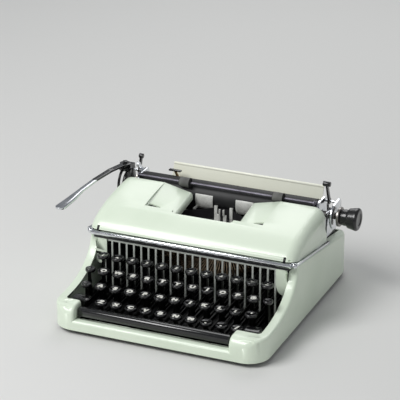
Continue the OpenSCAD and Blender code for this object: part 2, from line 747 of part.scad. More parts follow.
// ---------------------------------------------------------------- ribbon
spool_x = 88;
spool_y = 8;
cup_z = 78;
cup_r = 25;
spool_r = 22;
spindle_r = 2.5;
ribbon_h = 13;
ribbon_t = 0.4;
ribbon_low = cup_z + 3;
module spool_cups() {
    color([0.45, 0.46, 0.47]) both_sides() {
        translate([spool_x, spool_y, cup_z - 1.5]) {
            difference() {
                cylinder(r = cup_r, h = 9, $fn = FN_BIG);
                translate([0, 0, 1.5]) cylinder(r = cup_r - 1.2, h = 9, $fn = FN_BIG);
                // way out for the ribbon
                rotate([0, 0, 120]) translate([0, -4, 1.5]) cube([cup_r + 2, 8, 10]);
            }
            cylinder(r = spindle_r, h = 19);
        }
        // bracket down to the side frame
        box([frame_x - frame_t - 4, spool_y - 9, 50], [frame_x - frame_t, spool_y + 9, cup_z - 1.5]);
    }
}
module spool() {
    hub = 9;
    translate([spool_x, spool_y, cup_z + gap]) difference() {
        union() {
            cylinder(r = spool_r, h = 1, $fn = FN_BIG);
            cylinder(r = hub, h = ribbon_h + 3);
            translate([0, 0, ribbon_h + 2]) cylinder(r = spool_r, h = 1, $fn = FN_BIG);
            translate([0, 0, 1.4]) cylinder(r = spool_r - 5, h = ribbon_h, $fn = FN_BIG);
        }
        translate([0, 0, -1]) cylinder(r = spindle_r + run_gap, h = 30);
        // drive holes in the upper flange
        for (a = [0:60:300]) rotate([0, 0, a]) translate([13.5, 0, ribbon_h + 1.7])
            cylinder(r = 3, h = 5, $fn = 24);
    }
}
module spool_left() { color([0.25, 0.25, 0.26]) mirror([1, 0, 0]) spool(); }
module spool_right() { color([0.25, 0.25, 0.26]) spool(); }
// Ribbon strands from the spools to the vibrator
ribbon_y = platen_y - platen_r - 0.7;
span_half = 12;
function tangent_end(r) = [spool_x - r * 0.86, spool_y + r * 0.51];
module strip_between(a, b, z, h) {
    d = b - a;
    translate([a[0], a[1], z]) rotate([0, 0, atan2(d[1], d[0])])
        translate([0, -ribbon_t / 2, 0]) cube([norm(d), ribbon_t, h]);
}
module ribbon() {
    color([0.12, 0.10, 0.14]) both_sides()
        strip_between(tangent_end(cup_r + gap), [span_half + gap, ribbon_y - 1.5], ribbon_low, ribbon_h);
}
// Fork that lifts the ribbon in front of the type
vibrator_y = ribbon_y - 2.2;
module ribbon_vibrator() {
    color([0.88, 0.89, 0.90]) {
        both_sides() {
            // prong with two hooks that the ribbon runs between
            box([span_half - 4, vibrator_y, ribbon_low - 6],
                [span_half, vibrator_y + 1, ribbon_low + ribbon_h + 3]);
            box([span_half - 4, vibrator_y + 1, ribbon_low + ribbon_h + 0.5],
                [span_half, ribbon_y + 0.3, ribbon_low + ribbon_h + 3]);
            box([span_half - 4, vibrator_y + 1, ribbon_low - 3],
                [span_half, ribbon_y + 0.3, ribbon_low - 0.5]);
        }
        box([-span_half, vibrator_y, ribbon_low - 12], [span_half, vibrator_y + 1, ribbon_low - 6]);
        box([-span_half, vibrator_y, ribbon_low - 26], [-span_half + 5, vibrator_y + 1, ribbon_low - 12]);
    }
}
module ribbon_span() {
    color([0.12, 0.10, 0.14])
        box([-span_half, ribbon_y - ribbon_t / 2, ribbon_low],
            [span_half, ribbon_y + ribbon_t / 2, ribbon_low + ribbon_h]);
}
// Type guide and card holder on a bar between the side frames
guide_y = vibrator_y - 4;
bar_top = rail_top_z - rail_h;
holder_r = platen_r + 0.5;
module type_guide() {
    color([0.86, 0.87, 0.88]) {
        box([-frame_x + frame_t, guide_y - 3, bar_top - 3.5], [frame_x - frame_t, guide_y, bar_top]);
        // boss that the vibrator slides on
        box([-span_half - 1, guide_y - 3, bar_top - 3.5], [-span_half + 6, vibrator_y - gap, bar_top + 5]);
        both_sides() {
            // fingers that centre the type
            box([1.9, guide_y - 1.5, bar_top - 1], [6, guide_y, platen_z - 12]);
            box([1.9, guide_y - 3, platen_z - 12], [3.4, guide_y, platen_z - 5]);
            // card holder curved round the platen
            along_x(span_half + 3, span_half + 26) intersection() {
                difference() {
                    translate([platen_y, platen_z]) circle(r = holder_r + 0.7);
                    translate([platen_y, platen_z]) circle(r = holder_r);
                }
                translate([platen_y - platen_r - 4, platen_z - 13]) square([9, 20]);
            }
            box([span_half + 24, guide_y - 1.5, bar_top - 1], [span_half + 26, guide_y, platen_z - 9]);
            box([span_half + 24, guide_y - 1.5, platen_z - 12],
                [span_half + 26, platen_y - holder_r + 3, platen_z - 9]);
        }
    }
}

// ---------------------------------------------------------------- carriage
carriage_half = platen_l / 2;
end_in = carriage_half + 2.1;                 // inner face of an end plate
end_out = end_in + end_plate_t;
channel_low = rail_top_z + gap;
channel_front = rail_y_front - rail_w / 2 - 1;
channel_rear = rail_y_rear + rail_w / 2 + 1;
channel_t = 2.5;
feed_r = 5;
// Sheet that leads the paper round the platen
module paper_deflector() {
    along_x(-end_in, end_in) difference() {
        intersection() {
            translate([platen_y, platen_z]) circle(r = platen_r + 2.6);
            polygon([[platen_y + 5, platen_z - 40], [platen_y + 40, platen_z - 40],
                [platen_y + 40, platen_z + 4], [platen_y + 5, platen_z]]);
        }
        translate([platen_y, platen_z]) circle(r = platen_r + 1.4);
    }
}
margin_y = 112;
margin_z = 96;
module margin_rail() {
    box([-end_in, margin_y - 2, margin_z - 3], [end_in, margin_y + 2, margin_z + 3]);
    both_sides() box([end_in - 3, margin_y - 2, channel_low + channel_t - eps],
        [end_in, margin_y + 2, margin_z - 3 + eps]);
}
module carriage_frame() {
    color([0.66, 0.67, 0.68]) {
        difference() {
            union() {
                box([-end_in, channel_front, channel_low], [end_in, channel_rear, channel_low + channel_t]);
                box([-end_in, channel_rear - 2, channel_low], [end_in, channel_rear, channel_low + 20]);
            }
            for (x = [-80:40:80]) translate([x, 98, 60]) linear_extrude(20)
                offset(r = 5) square([18, 6], center = true);
        }
        paper_deflector();
        margin_rail();
        // teeth of the escapement rack along the channel's rear
        for (x = [-100:4:100])
            box([x, channel_rear, channel_low + 6], [x + 2, channel_rear + 2, channel_low + 12]);
    }
}
// Outline of an end plate in Y and Z: round over the platen, a foot on the channel,
// and an ear for the post that the small levers turn on
cap_gap = 16;                                  // from the end plate to the outer plate
cap_t = 2.5;
end_r = platen_r;
lever_post = [platen_y + 14, platen_z + 12];
post_r = 1.5;
module end_view(r) {
    translate([platen_y, platen_z]) circle(r = r);
    translate(lever_post) circle(r = 5);
    polygon([[platen_y, platen_z + r], lever_post + [-2, 4.5], lever_post + [4.8, 0],
        [platen_y + 22, platen_z - 14], [platen_y, platen_z - 14]]);
}
module end_plate() {
    along_x(end_in, end_out) difference() {
        union() {
            end_view(end_r);
            polygon([[channel_front + 6, channel_low], [channel_rear, channel_low],
                [channel_rear, channel_low + 12], [platen_y + 22, platen_z - 14],
                [platen_y - 9.5, platen_z - 14]]);
        }
        translate([platen_y, platen_z]) circle(r = shaft_r + run_gap);
        translate([feed_y, feed_z]) circle(r = feed_shaft_r + run_gap);
    }
    // outer plate, held by two posts
    along_x(end_out + cap_gap, end_out + cap_gap + cap_t) difference() {
        end_view(end_r - 1);
        translate([platen_y, platen_z]) circle(r = shaft_r + run_gap);
    }
    bar_x(end_in, end_out + cap_gap, lever_post[0], lever_post[1], post_r);
    bar_x(end_out, end_out + cap_gap, platen_y + 17, platen_z - 9, 3);
    // pin of the paper bail
    bar_x(bail_x, end_in, bail_pivot[0], bail_pivot[1], bail_pin_r);
}
module carriage_end_right() {
    color([0.86, 0.88, 0.90]) {
        end_plate();
        // lower plate between the two others, on the thick post
        along_x(end_out + 9, end_out + 11) difference() {
            polygon([[platen_y - 9, channel_low + 5], [platen_y + 21, channel_low + 5],
                [platen_y + 21, platen_z - 5], [platen_y + 8, platen_z + 6], [platen_y - 9, platen_z + 6]]);
            translate([platen_y, platen_z]) circle(r = shaft_r + run_gap);
        }
    }
}
lever_pivot = [-(end_out + cap_gap + 5), platen_y];
lever_pin_r = 3;
arm_out_r = scallop_r - 3 * gap;  // it passes through the cover's scallop
lever_z = platen_z + 22.5;
module carriage_end_left() {
    table_z = lever_z - 6;
    color([0.86, 0.88, 0.90]) {
        mirror([1, 0, 0]) end_plate();
        // bracket and pin of the return lever
        box([lever_pivot[0] - 6, platen_y + 2, table_z], [-end_out - cap_gap, platen_y + 18, table_z + 3]);
        translate([lever_pivot[0], lever_pivot[1], table_z]) cylinder(r = 8, h = 3);
        box([-end_out - cap_gap - cap_t, platen_y + 2, platen_z + 10],
            [-end_out - cap_gap, platen_y + 18, table_z + 3]);
        // curved arm that hangs down in front of the shaft
        along_x(lever_pivot[0] - 1, lever_pivot[0] + 1) polygon(concat(
            [[platen_y - 5, table_z], [platen_y - 5, table_z + 3]],
            arc([platen_y, platen_z], arm_out_r, 125, 212, 10),
            arc([platen_y, platen_z], arm_out_r - 3.6, 212, 120, 10)));
        translate([lever_pivot[0], lever_pivot[1], table_z]) cylinder(r = lever_pin_r, h = 11);
    }
}
module platen() {
    color([0.09, 0.09, 0.09]) difference() {
        bar_x(-carriage_half, carriage_half, platen_y, platen_z, platen_r, $fn = FN_BIG);
        bar_x(-carriage_half - 1, carriage_half + 1, platen_y, platen_z, shaft_r);
    }
}
knob_x = end_out + cap_gap + cap_t + 7;
module platen_shaft() {
    color([0.72, 0.73, 0.74])
        bar_x(-end_out - cap_gap - cap_t - 1, knob_x + knob_w - 4, platen_y, platen_z, shaft_r);
    // collar in front of the knob
    color([0.72, 0.73, 0.74]) bar_x(knob_x - 3, knob_x, platen_y, platen_z, knob_r - 2);
}
module platen_knob() {
    color([0.07, 0.07, 0.08]) translate([knob_x, platen_y, platen_z]) rotate([0, 90, 0])
        difference() {
            rotate_extrude($fn = FN_BIG) polygon(concat([[0, 0], [knob_r - 5, 0], [knob_r - 4, 5]],
                arc([knob_r - 2, 8], 2, 180, 90, 4), arc([knob_r - 3, knob_w - 3], 3, 0, 90, 6),
                [[knob_r - 6, knob_w], [knob_r - 7, knob_w - 0.8], [0, knob_w - 0.8]]));
            translate([0, 0, -1]) cylinder(r = shaft_r, h = knob_w - 3);
        }
}
// Ratchet wheel for the line spacing, at the platen's left end
ratchet_teeth = 30;
ratchet_w = 3;
module line_ratchet() {
    ratchet_r = end_r - 4;
    color([0.60, 0.61, 0.62]) translate([-end_out - 5, platen_y, platen_z]) rotate([0, 90, 0])
        linear_extrude(ratchet_w) difference() {
            polygon([for (i = [0:2 * ratchet_teeth - 1]) let (a = i * 180 / ratchet_teeth,
                r = i % 2 == 0 ? ratchet_r : ratchet_r - 1.4) r * [cos(a), sin(a)]]);
            circle(r = shaft_r);
        }
}
feed_y = platen_y;
feed_shaft_r = 2;
feed_step = 56;
feed_l = 32;
feed_z = platen_z - platen_r - feed_r - 0.1;
module feed_roller() {
    color([0.15, 0.14, 0.13]) for (i = [-1.5:1.5])
        bar_x(i * feed_step - feed_l / 2, i * feed_step + feed_l / 2, feed_y, feed_z, feed_r);
    color([0.72, 0.73, 0.74]) bar_x(-end_out, end_out, feed_y, feed_z, feed_shaft_r);
}
// Paper table behind the platen
table_low = [platen_y + platen_r + 3.2, platen_z - 6];
table_knee = [table_low[0], platen_z + 4];
table_top = [platen_y + 28, platen_z + 23];
table_t = 1.5;
table_left = -86;
table_right = 112;
leg_step = 40;
leg_w = 10;
module paper_table() {
    color([0.88, 0.88, 0.80]) {
        along_x(table_left, table_right) union() {
            polygon([table_knee, table_top, table_top + [table_t, -0.5], table_knee + [table_t, -0.5]]);
            translate(table_top + [1, 0]) circle(r = 1.8);
        }
        along_x(-end_in, end_in)
            polygon([table_low, table_knee, table_knee + [table_t, 0], table_low + [table_t, 0]]);
        // legs on the channel
        for (i = [-1.5:1.5])
            box([i * leg_step - leg_w / 2, table_low[0], channel_low + channel_t],
                [i * leg_step + leg_w / 2, table_low[0] + table_t, table_low[1] + eps]);
    }
}
// Edge guide for the paper: a tongue from the table over the platen, with a crossbar
guide_x = -76.5;
guide_w = 3;
guide_tip = [platen_y + 9.2, platen_z + 21];
module paper_guide() {
    d = (table_top - table_knee) / norm(table_top - table_knee);
    foot = table_knee + [-d[1], d[0]] * gap;
    color([0.72, 0.60, 0.38]) {
        along_x(guide_x - guide_w / 2, guide_x + guide_w / 2)
            polygon([foot, foot + d * 3, guide_tip + [0.6, 0.4], guide_tip - [0.6, 0.4]]);
        along_x(guide_x - 8, guide_x + 8) translate(guide_tip - [2, 0.4]) square([4.6, 1.6]);
    }
}
// Margin stops on the rail behind the paper table
module margin_stop() {
    difference() {
        box([-5, margin_y - 5, margin_z - 6], [5, margin_y + 5, margin_z + 9]);
        box([-6, margin_y - 2 - gap, margin_z - 3 - gap], [6, margin_y + 2 + gap, margin_z + 3 + gap]);
    }
}
stop_place = 60;
module margin_stop_left() { color([0.80, 0.81, 0.82]) translate([-stop_place, 0, 0]) margin_stop(); }
module margin_stop_right() { color([0.80, 0.81, 0.82]) translate([stop_place, 0, 0]) margin_stop(); }
// Bail with its two rollers
bail_angle = 128;                // direction of the rollers from the platen's axis
bail_axis = [platen_y, platen_z] + (platen_r + bail_roller_r + gap) * [cos(bail_angle), sin(bail_angle)];
bail_pivot = [platen_y + 10, platen_z + 9];
bail_r = 1.5;
bail_pin_r = 1.5;
bail_x = carriage_half + gap;
bail_arm_t = 1.5;
bail_roller_x = [-52.5, 69.5];
bail_roller_l = 14;
module paper_bail() {
    color([0.80, 0.81, 0.82]) {
        bar_x(-bail_x, bail_x, bail_axis[0], bail_axis[1], bail_r);
        both_sides() difference() {
            along_x(bail_x, bail_x + bail_arm_t) difference() {
                union() {
                    translate(bail_axis) circle(r = 3);
                    translate(bail_pivot) circle(r = 4);
                    polygon([bail_axis + [-1, 2.6], bail_pivot + [-1, 3.8],
                        bail_pivot + [1, -3.8], bail_axis + [1, -2.6]]);
                }
                translate(bail_pivot) circle(r = bail_pin_r + run_gap);
            }
        }
    }
}
module bail_rollers() {
    color([0.50, 0.50, 0.49]) for (x = bail_roller_x) difference() {
        bar_x(x - bail_roller_l / 2, x + bail_roller_l / 2, bail_axis[0], bail_axis[1], bail_roller_r);
        bar_x(x - bail_roller_l, x + bail_roller_l, bail_axis[0], bail_axis[1], bail_r + run_gap);
    }
}
// Carriage return lever: a curved chrome blade with a flat finger end
lever_route = [[0, 0, 0], [-6, -30, 1.5], [-13, -60, -1], [-19, -85, -5.5], [-24, -105, -11],
    [-29, -122, -15]];
lever_half_w = [4, 3.6, 3.2, 3.4, 5.5, 6.5];
module return_lever() {
    color([0.88, 0.89, 0.91]) translate([lever_pivot[0], lever_pivot[1], lever_z]) {
        difference() {
            union() {
                for (i = [0:4]) hull() {
                    translate(lever_route[i]) cylinder(r = lever_half_w[i], h = 2.2, $fn = 24);
                    translate(lever_route[i + 1]) cylinder(r = lever_half_w[i + 1], h = 2.2, $fn = 24);
                }
                translate([0, 0, -2.7]) cylinder(r = 7, h = 5);
            }
            translate([0, 0, -3]) cylinder(r = lever_pin_r + run_gap, h = 7);
        }
    }
}
// Small levers at the carriage ends: a blade with a round pad on its tip, at x
lever_w = 4;
module small_lever(x, tip, pad_l) {
    d = (tip - lever_post) / norm(tip - lever_post);
    n = [-d[1], d[0]] * lever_w * 0.6;
    along_x(x - 1.2, x + 1.2) difference() {
        union() {
            translate(lever_post) circle(r = lever_w);
            polygon([lever_post + n, tip + n, tip - n, lever_post - n]);
        }
        translate(lever_post) circle(r = post_r + run_gap);
    }
    bar_x(x - pad_l / 2, x + pad_l / 2, tip[0], tip[1], lever_w * 0.75);
}
module paper_release_lever() {
    color([0.16, 0.16, 0.17]) small_lever(end_out + 5, lever_post + [-10, 26], 9);
}
module line_space_lever() {
    color([0.80, 0.81, 0.82]) small_lever(-end_out - 3, lever_post + [-14, 14], 3);
}
module carriage_release_lever() {
    color([0.16, 0.16, 0.17]) small_lever(-end_out - 8, lever_post + [6, 17], 5);
}

// ---------------------------------------------------------------- inner drive and bell
module mainspring_drum() {
    color([0.48, 0.48, 0.46]) translate([drum_x, cross_y + 4, drum_z]) rotate([-90, 0, 0])
        difference() {
            rotate_extrude($fn = FN_BIG) polygon([[0, 0], [drum_r, 0], [drum_r, 1.2], [drum_r - 1.5, 1.2],
                [drum_r - 1.5, 8.8], [drum_r, 8.8], [drum_r, 10], [0, 10]]);
            translate([0, 0, -1]) cylinder(r = 2 + run_gap, h = 12);
        }
}
module bell() {
    color([0.78, 0.76, 0.66]) translate([bell_x, bell_y, bell_z]) rotate_extrude($fn = FN_BIG)
        intersection() {
            translate([0, -bell_r / 2]) difference() {
                circle(r = bell_r);
                circle(r = bell_r - bell_t);
            }
            translate([0, -3]) square([bell_r, bell_r]);
        }
}

body_shell();
front_rail();
cover_trim();
ribbon_cover();
base_frame();
rubber_feet();
frame_screws();
carriage_rails();
key_shaft();
lever_comb();
number_row_keys();
upper_row_keys();
lower_row_keys();
letter_key(2, 0);  // key_a
letter_key(2, 1);  // key_s
letter_key(2, 2);  // key_d
letter_key(2, 3);  // key_f
letter_key(2, 4);  // key_g
letter_key(2, 5);  // key_h
letter_key(2, 6);  // key_j
letter_key(2, 7);  // key_k
letter_key(2, 8);  // key_l
letter_key(2, 9);  // key_semicolon
letter_key(2, 10);  // key_quote
shift_left();
shift_right();
shift_lock_key();
margin_release_key();
backspace_key();
spacebar();
type_segment();
typebars();
striking_typebar();
spool_cups();
spool_left();
spool_right();
ribbon();
ribbon_span();
ribbon_vibrator();
type_guide();
carriage_frame();
carriage_end_left();
carriage_end_right();
platen();
platen_shaft();
platen_knob();
line_ratchet();
feed_roller();
paper_table();
paper_guide();
margin_stop_left();
margin_stop_right();
paper_bail();
bail_rollers();
return_lever();
paper_release_lever();
line_space_lever();
carriage_release_lever();
mainspring_drum();
bell();
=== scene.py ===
"""Portable typewriter with an enamelled shell, round keys on levers and a travelling carriage."""
import json
import math

import bmesh
import bpy
from mathutils import Matrix, Vector


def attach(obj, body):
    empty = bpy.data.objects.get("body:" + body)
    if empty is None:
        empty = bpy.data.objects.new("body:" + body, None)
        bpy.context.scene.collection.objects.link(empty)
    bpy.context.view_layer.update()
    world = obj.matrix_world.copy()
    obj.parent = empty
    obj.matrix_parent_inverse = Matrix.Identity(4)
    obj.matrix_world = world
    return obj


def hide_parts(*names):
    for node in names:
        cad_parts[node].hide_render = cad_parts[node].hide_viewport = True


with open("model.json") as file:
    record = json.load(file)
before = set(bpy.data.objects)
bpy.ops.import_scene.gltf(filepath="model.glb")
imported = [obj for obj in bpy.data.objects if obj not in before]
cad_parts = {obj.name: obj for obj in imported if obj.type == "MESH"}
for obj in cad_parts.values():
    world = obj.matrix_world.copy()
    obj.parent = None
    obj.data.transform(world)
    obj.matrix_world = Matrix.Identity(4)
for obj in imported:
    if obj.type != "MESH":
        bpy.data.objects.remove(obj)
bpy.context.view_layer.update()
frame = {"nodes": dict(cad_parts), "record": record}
mm = 0.001
scene = bpy.context.scene
scene.view_settings.view_transform = "Standard"

# ---------------------------------------------------------------- camera, floor and lamps
# A long lens looks down on the keyboard from the typist's right. The machine stands on a
# plain pale floor, under one large soft lamp and two weaker ones.
azimuth, elevation, distance = math.radians(23.03), math.radians(23.07), 2.5
towards = Vector((math.sin(azimuth) * math.cos(elevation),
                  -math.cos(azimuth) * math.cos(elevation), math.sin(elevation)))
camera_data = bpy.data.cameras.new("camera")
camera_data.lens = 187.5
camera_data.sensor_width = 36
camera = bpy.data.objects.new("camera", camera_data)
right = Vector((math.cos(azimuth), math.sin(azimuth), 0))
up = towards.cross(right)
camera.location = Vector((0, 0, 0.060)) + towards * distance + right * -0.0060 + up * 0.0636
camera.rotation_euler = (-towards).to_track_quat("-Z", "Y").to_euler()
scene.collection.objects.link(camera)
scene.camera = camera


def linear(r, g, b):
    """A colour as it looks on a screen, turned into the values that a shader takes."""
    levels = tuple(c / 12.92 if c <= 0.04045 else ((c + 0.055) / 1.055) ** 2.4 for c in (r, g, b))
    return levels + (1,)


floor_mesh = bmesh.new()
bmesh.ops.create_grid(floor_mesh, x_segments=1, y_segments=1, size=6)
floor_data = bpy.data.meshes.new("floor")
floor_mesh.to_mesh(floor_data)
floor_mesh.free()
floor = bpy.data.objects.new("floor", floor_data)
floor_paint = bpy.data.materials.new("floor_paint")
floor_paint.use_nodes = True
floor_shader = floor_paint.node_tree.nodes["Principled BSDF"]
floor_shader.inputs["Base Color"].default_value = linear(.86, .86, .85)
floor_shader.inputs["Roughness"].default_value = 0.9
floor_data.materials.append(floor_paint)
scene.collection.objects.link(floor)

world = bpy.data.worlds.new("studio")
world.use_nodes = True
world.node_tree.nodes["Background"].inputs["Color"].default_value = (0.92, 0.95, 1, 1)
world.node_tree.nodes["Background"].inputs["Strength"].default_value = 0.27
scene.world = world
lamps = (("key_lamp", (-0.8, -1.1, 1.6), 1.0, 30), ("fill_lamp", (1.4, -1.0, 0.9), 1.2, 2),
         ("back_lamp", (-0.2, 1.3, 1.3), 1.2, 9))
for name, place, size, power in lamps:
    lamp_data = bpy.data.lights.new(name, "AREA")
    lamp_data.size = size
    lamp_data.energy = power
    lamp = bpy.data.objects.new(name, lamp_data)
    lamp.location = place
    lamp.rotation_euler = (Vector((0, 0, 0.05)) - Vector(place)).to_track_quat("-Z", "Y").to_euler()
    scene.collection.objects.link(lamp)


# ---------------------------------------------------------------- body shell
# The shell is pressed from sheet steel in one piece, with the keyboard well cut out and its
# edges folded in, and it is stove-enamelled pale grey-green. Screws hold it to the pan.
def surface(name, colour, drift, patch=30, rough=0.4, spread=0.1, grain=900, depth=0.0,
            metal=0.0, coat=0.0):
    """A finish whose colour drifts in soft patches, with a fine grain in its gloss and relief."""
    material = bpy.data.materials.new(name)
    material.use_nodes = True
    nodes, links = material.node_tree.nodes, material.node_tree.links
    shader = nodes["Principled BSDF"]
    shader.inputs["Metallic"].default_value = metal
    shader.inputs["Coat Weight"].default_value = coat
    shader.inputs["Coat Roughness"].default_value = 0.12
    place = nodes.new("ShaderNodeTexCoord")
    patches = nodes.new("ShaderNodeTexNoise")
    patches.inputs["Scale"].default_value = patch
    patches.inputs["Detail"].default_value = 4
    links.new(place.outputs["Object"], patches.inputs["Vector"])
    blend = nodes.new("ShaderNodeMix")
    blend.data_type = "RGBA"
    blend.inputs["A"].default_value = linear(*colour)
    blend.inputs["B"].default_value = linear(*drift)
    level = nodes.new("ShaderNodeMapRange")
    level.inputs["From Min"].default_value = 0.4
    level.inputs["From Max"].default_value = 0.7
    links.new(patches.outputs["Fac"], level.inputs["Value"])
    links.new(level.outputs["Result"], blend.inputs["Factor"])
    links.new(blend.outputs["Result"], shader.inputs["Base Color"])
    fine = nodes.new("ShaderNodeTexNoise")
    fine.inputs["Scale"].default_value = grain
    fine.inputs["Detail"].default_value = 3
    links.new(place.outputs["Object"], fine.inputs["Vector"])
    gloss = nodes.new("ShaderNodeMapRange")
    gloss.inputs["From Min"].default_value = 0.3
    gloss.inputs["From Max"].default_value = 0.7
    gloss.inputs["To Min"].default_value = rough - spread / 2
    gloss.inputs["To Max"].default_value = rough + spread / 2
    links.new(fine.outputs["Fac"], gloss.inputs["Value"])
    links.new(gloss.outputs["Result"], shader.inputs["Roughness"])
    if depth:
        relief = nodes.new("ShaderNodeBump")
        relief.inputs["Strength"].default_value = 0.6
        relief.inputs["Distance"].default_value = depth
        links.new(fine.outputs["Fac"], relief.inputs["Height"])
        links.new(relief.outputs["Normal"], shader.inputs["Normal"])
    return material


def piece(name, mesh, body, slot, *materials):
    """Puts a finished mesh in the scene and joins it to its CAD body."""
    made = bpy.data.objects.new(name, mesh)
    for material in materials:
        mesh.materials.append(material)
    scene.collection.objects.link(made)
    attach(made, body)
    return made


def rounded(node, width, angle=35, segments=2, broad=0, chosen=None):
    """A merged copy of a CAD node's mesh with its sharp edges eased to the given radius.
    The chosen outer edges are first rounded to the broad one."""
    mesh = bpy.data.meshes.new(node + "_mesh")
    work = bmesh.new()
    work.from_mesh(frame["nodes"][node].data)
    bmesh.ops.remove_doubles(work, verts=work.verts, dist=0.002 * mm)
    bmesh.ops.dissolve_limit(work, angle_limit=math.radians(0.6), verts=work.verts, edges=work.edges)
    if broad:
        outer = [e for e in work.edges if len(e.link_faces) == 2 and e.is_convex
                 and e.calc_face_angle() > math.radians(angle) and chosen(e)]
        bmesh.ops.bevel(work, geom=outer, offset=broad, offset_type="OFFSET", affect="EDGES",
                        segments=5, profile=0.5, clamp_overlap=False, material=-1)
    if width:
        sharp = [e for e in work.edges
                 if len(e.link_faces) == 2 and e.calc_face_angle() > math.radians(angle)]
        bmesh.ops.bevel(work, geom=sharp, offset=width, offset_type="OFFSET", affect="EDGES",
                        segments=segments, profile=0.5, clamp_overlap=True, material=-1)
    for face in work.faces:
        face.smooth = True
    bmesh.ops.triangulate(work, faces=[f for f in work.faces if len(f.verts) > 4])
    work.to_mesh(mesh)
    work.free()
    mesh.set_sharp_from_angle(angle=math.radians(32))
    return mesh


def dressed(node, slot, material, width=0.3 * mm, angle=35, segments=2, second=None, where=None):
    """A CAD node's own shape with eased edges and its finish.
    Faces picked by where take the second finish."""
    bodies = frame["record"]["behaviour"]["bodies"]
    body = next(b for b, names in bodies.items() if node in names)
    mesh = rounded(node, width, angle, segments)
    made = piece(node + "_piece", mesh, body, slot, *([material, second] if second else [material]))
    if second:
        for face in mesh.polygons:
            face.material_index = int(where(face.center / mm))
    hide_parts(node)
    return made


enamel = surface("pale_enamel", (.90, .945, .87), (.87, .92, .84), patch=14, rough=.34, spread=.06,
                 grain=700, depth=.03 * mm, coat=.35)
shell_half_width, shell_half_depth, shell_foot = 133.6, 150, 9
notch_sides, notch_back = (-103, 92), -132


def shell_rim(edge):
    """The shell's outer top edges and the edges of the notch for the spacebar."""
    middle = (edge.verts[0].co + edge.verts[1].co) / 2 / mm
    side = min((f.normal for f in edge.link_faces), key=lambda n: abs(n.z))
    outward = side.x * middle.x / shell_half_width + side.y * middle.y / shell_half_depth
    in_notch = middle.y < notch_back and min(abs(middle.x - x) for x in notch_sides) < .7
    return middle.z > shell_foot and (outward > .6 or in_notch)


shell = piece("body_shell_piece", rounded("body_shell", .5 * mm, 30, 2, 3.5 * mm, shell_rim),
              "machine_body", "enamel", enamel)
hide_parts("body_shell")

# ---------------------------------------------------------------- rail and mouldings
# A folded steel rail closes the gap above the keys; its black is painted shade for the gap
# under the moulding. Chrome-plated brass mouldings run along the cover's foot and down both sides, with a ball
# at each front corner.
black_paint_and_shade = surface("black_paint_and_shade", (.13, .13, .14), (.17, .17, .17), patch=40, rough=.5, spread=.15,
                      grain=1200, depth=.02 * mm)
chrome = surface("chrome_plate", (.90, .91, .92), (.80, .81, .83), patch=60, rough=.16, spread=.08,
                 grain=1600, depth=.004 * mm, metal=1)
# The rail's black is painted shade: it darkens the gap under the chrome moulding.
dressed("front_rail", "frame_paint", black_paint_and_shade, .3 * mm)
dressed("cover_trim", "bright_trim", chrome, .3 * mm)

# ---------------------------------------------------------------- ribbon cover
# A pressed steel lid, enamelled like the shell, hinged on two pins behind the moulding. It is
# cut open over the type basket, with two sunk decks that curl down into the opening.
dressed("ribbon_cover", "enamel", enamel, .6 * mm)

# ---------------------------------------------------------------- frame, feet and rails
# The pan and the side frames are black-painted sheet steel. Moulded rubber feet are clamped
# under the pan's corners, and ground steel rails are screwed across the side frames.
rubber = surface("foot_rubber", (.09, .09, .09), (.13, .13, .12), patch=80, rough=.8, spread=.15,
                 grain=2500, depth=.05 * mm)
steel = surface("bare_steel", (.62, .61, .60), (.48, .46, .43), patch=90, rough=.32, spread=.2,
                grain=2200, depth=.01 * mm, metal=1)
dressed("base_frame", "frame_paint", black_paint_and_shade, .3 * mm)
dressed("rubber_feet", "foot_rubber", rubber, .3 * mm)
dressed("frame_screws", "steel", steel, .15 * mm)
dressed("carriage_rails", "steel", steel, .3 * mm)

# ---------------------------------------------------------------- keys
# Each key is a plated steel lever on the common shaft, with a moulded black top pressed on
# its stem. The levers are coloured near black, which is partly painted shade for the well under the keytops.
# The letters are filled in white under a clear gloss.
key_black = surface("key_black", (.055, .055, .06), (.08, .08, .085), patch=120, rough=.16, spread=.08,
                    grain=1500, depth=.006 * mm, coat=.5)
legend_white = surface("legend_white", (.93, .93, .90), (.86, .86, .82), patch=200, rough=.3, grain=2500)
# The levers' near-black colour is partly painted shade: it darkens the well under the keytops beyond what the
# lamps do.
plated = surface("dark_lever_and_painted_shade", (.20, .20, .20), (.13, .13, .13), patch=110, rough=.4, spread=.2,
                 grain=1800, depth=.01 * mm, metal=1)
pitch, first_x, row_y = 19.05, -5.5 * 19.05, -120.65
quarter = pitch / 4
row_shift, row_height = (0, 2, 3, 5), (66.4, 55.6, 44.8, 34)
top_height, tolerance = 4.5, .01
legends = ("1234567890-=", "QWERTYUIOP", "ASDFGHJKL", "ZXCVBNM,./")


def key_place(row, i):
    """The middle of a keytop's rim, counted from the row behind and from the left."""
    return Vector((first_x + row_shift[row] * pitch / 4 + i * pitch, row_y + (3 - row) * pitch,
                   row_height[row]))


def add_top(work, place, radius):
    """Spins a dished round keytop with a raised rim, its rim's top at the given place."""
    line = ((0, -top_height), (radius - 1.2, -top_height), (radius - .3, -4.1), (radius, -3.3),
            (radius, -1.4), (radius - .25, -.55), (radius - .8, -.08), (radius - 1.5, 0),
            (radius - 2.2, -.3), (radius - 3, -.62), (radius * .35, -.92), (0, -1))
    last = None
    edges = []
    for r, z in line:
        vert = work.verts.new((place.x + r, place.y, place.z + z))
        if last:
            edges.append(work.edges.new((last, vert)))
        last = vert
    bmesh.ops.spin(work, geom=edges + list({v for e in edges for v in e.verts}), cent=place,
                   axis=(0, 0, 1), angle=math.tau, steps=32, use_merge=True)


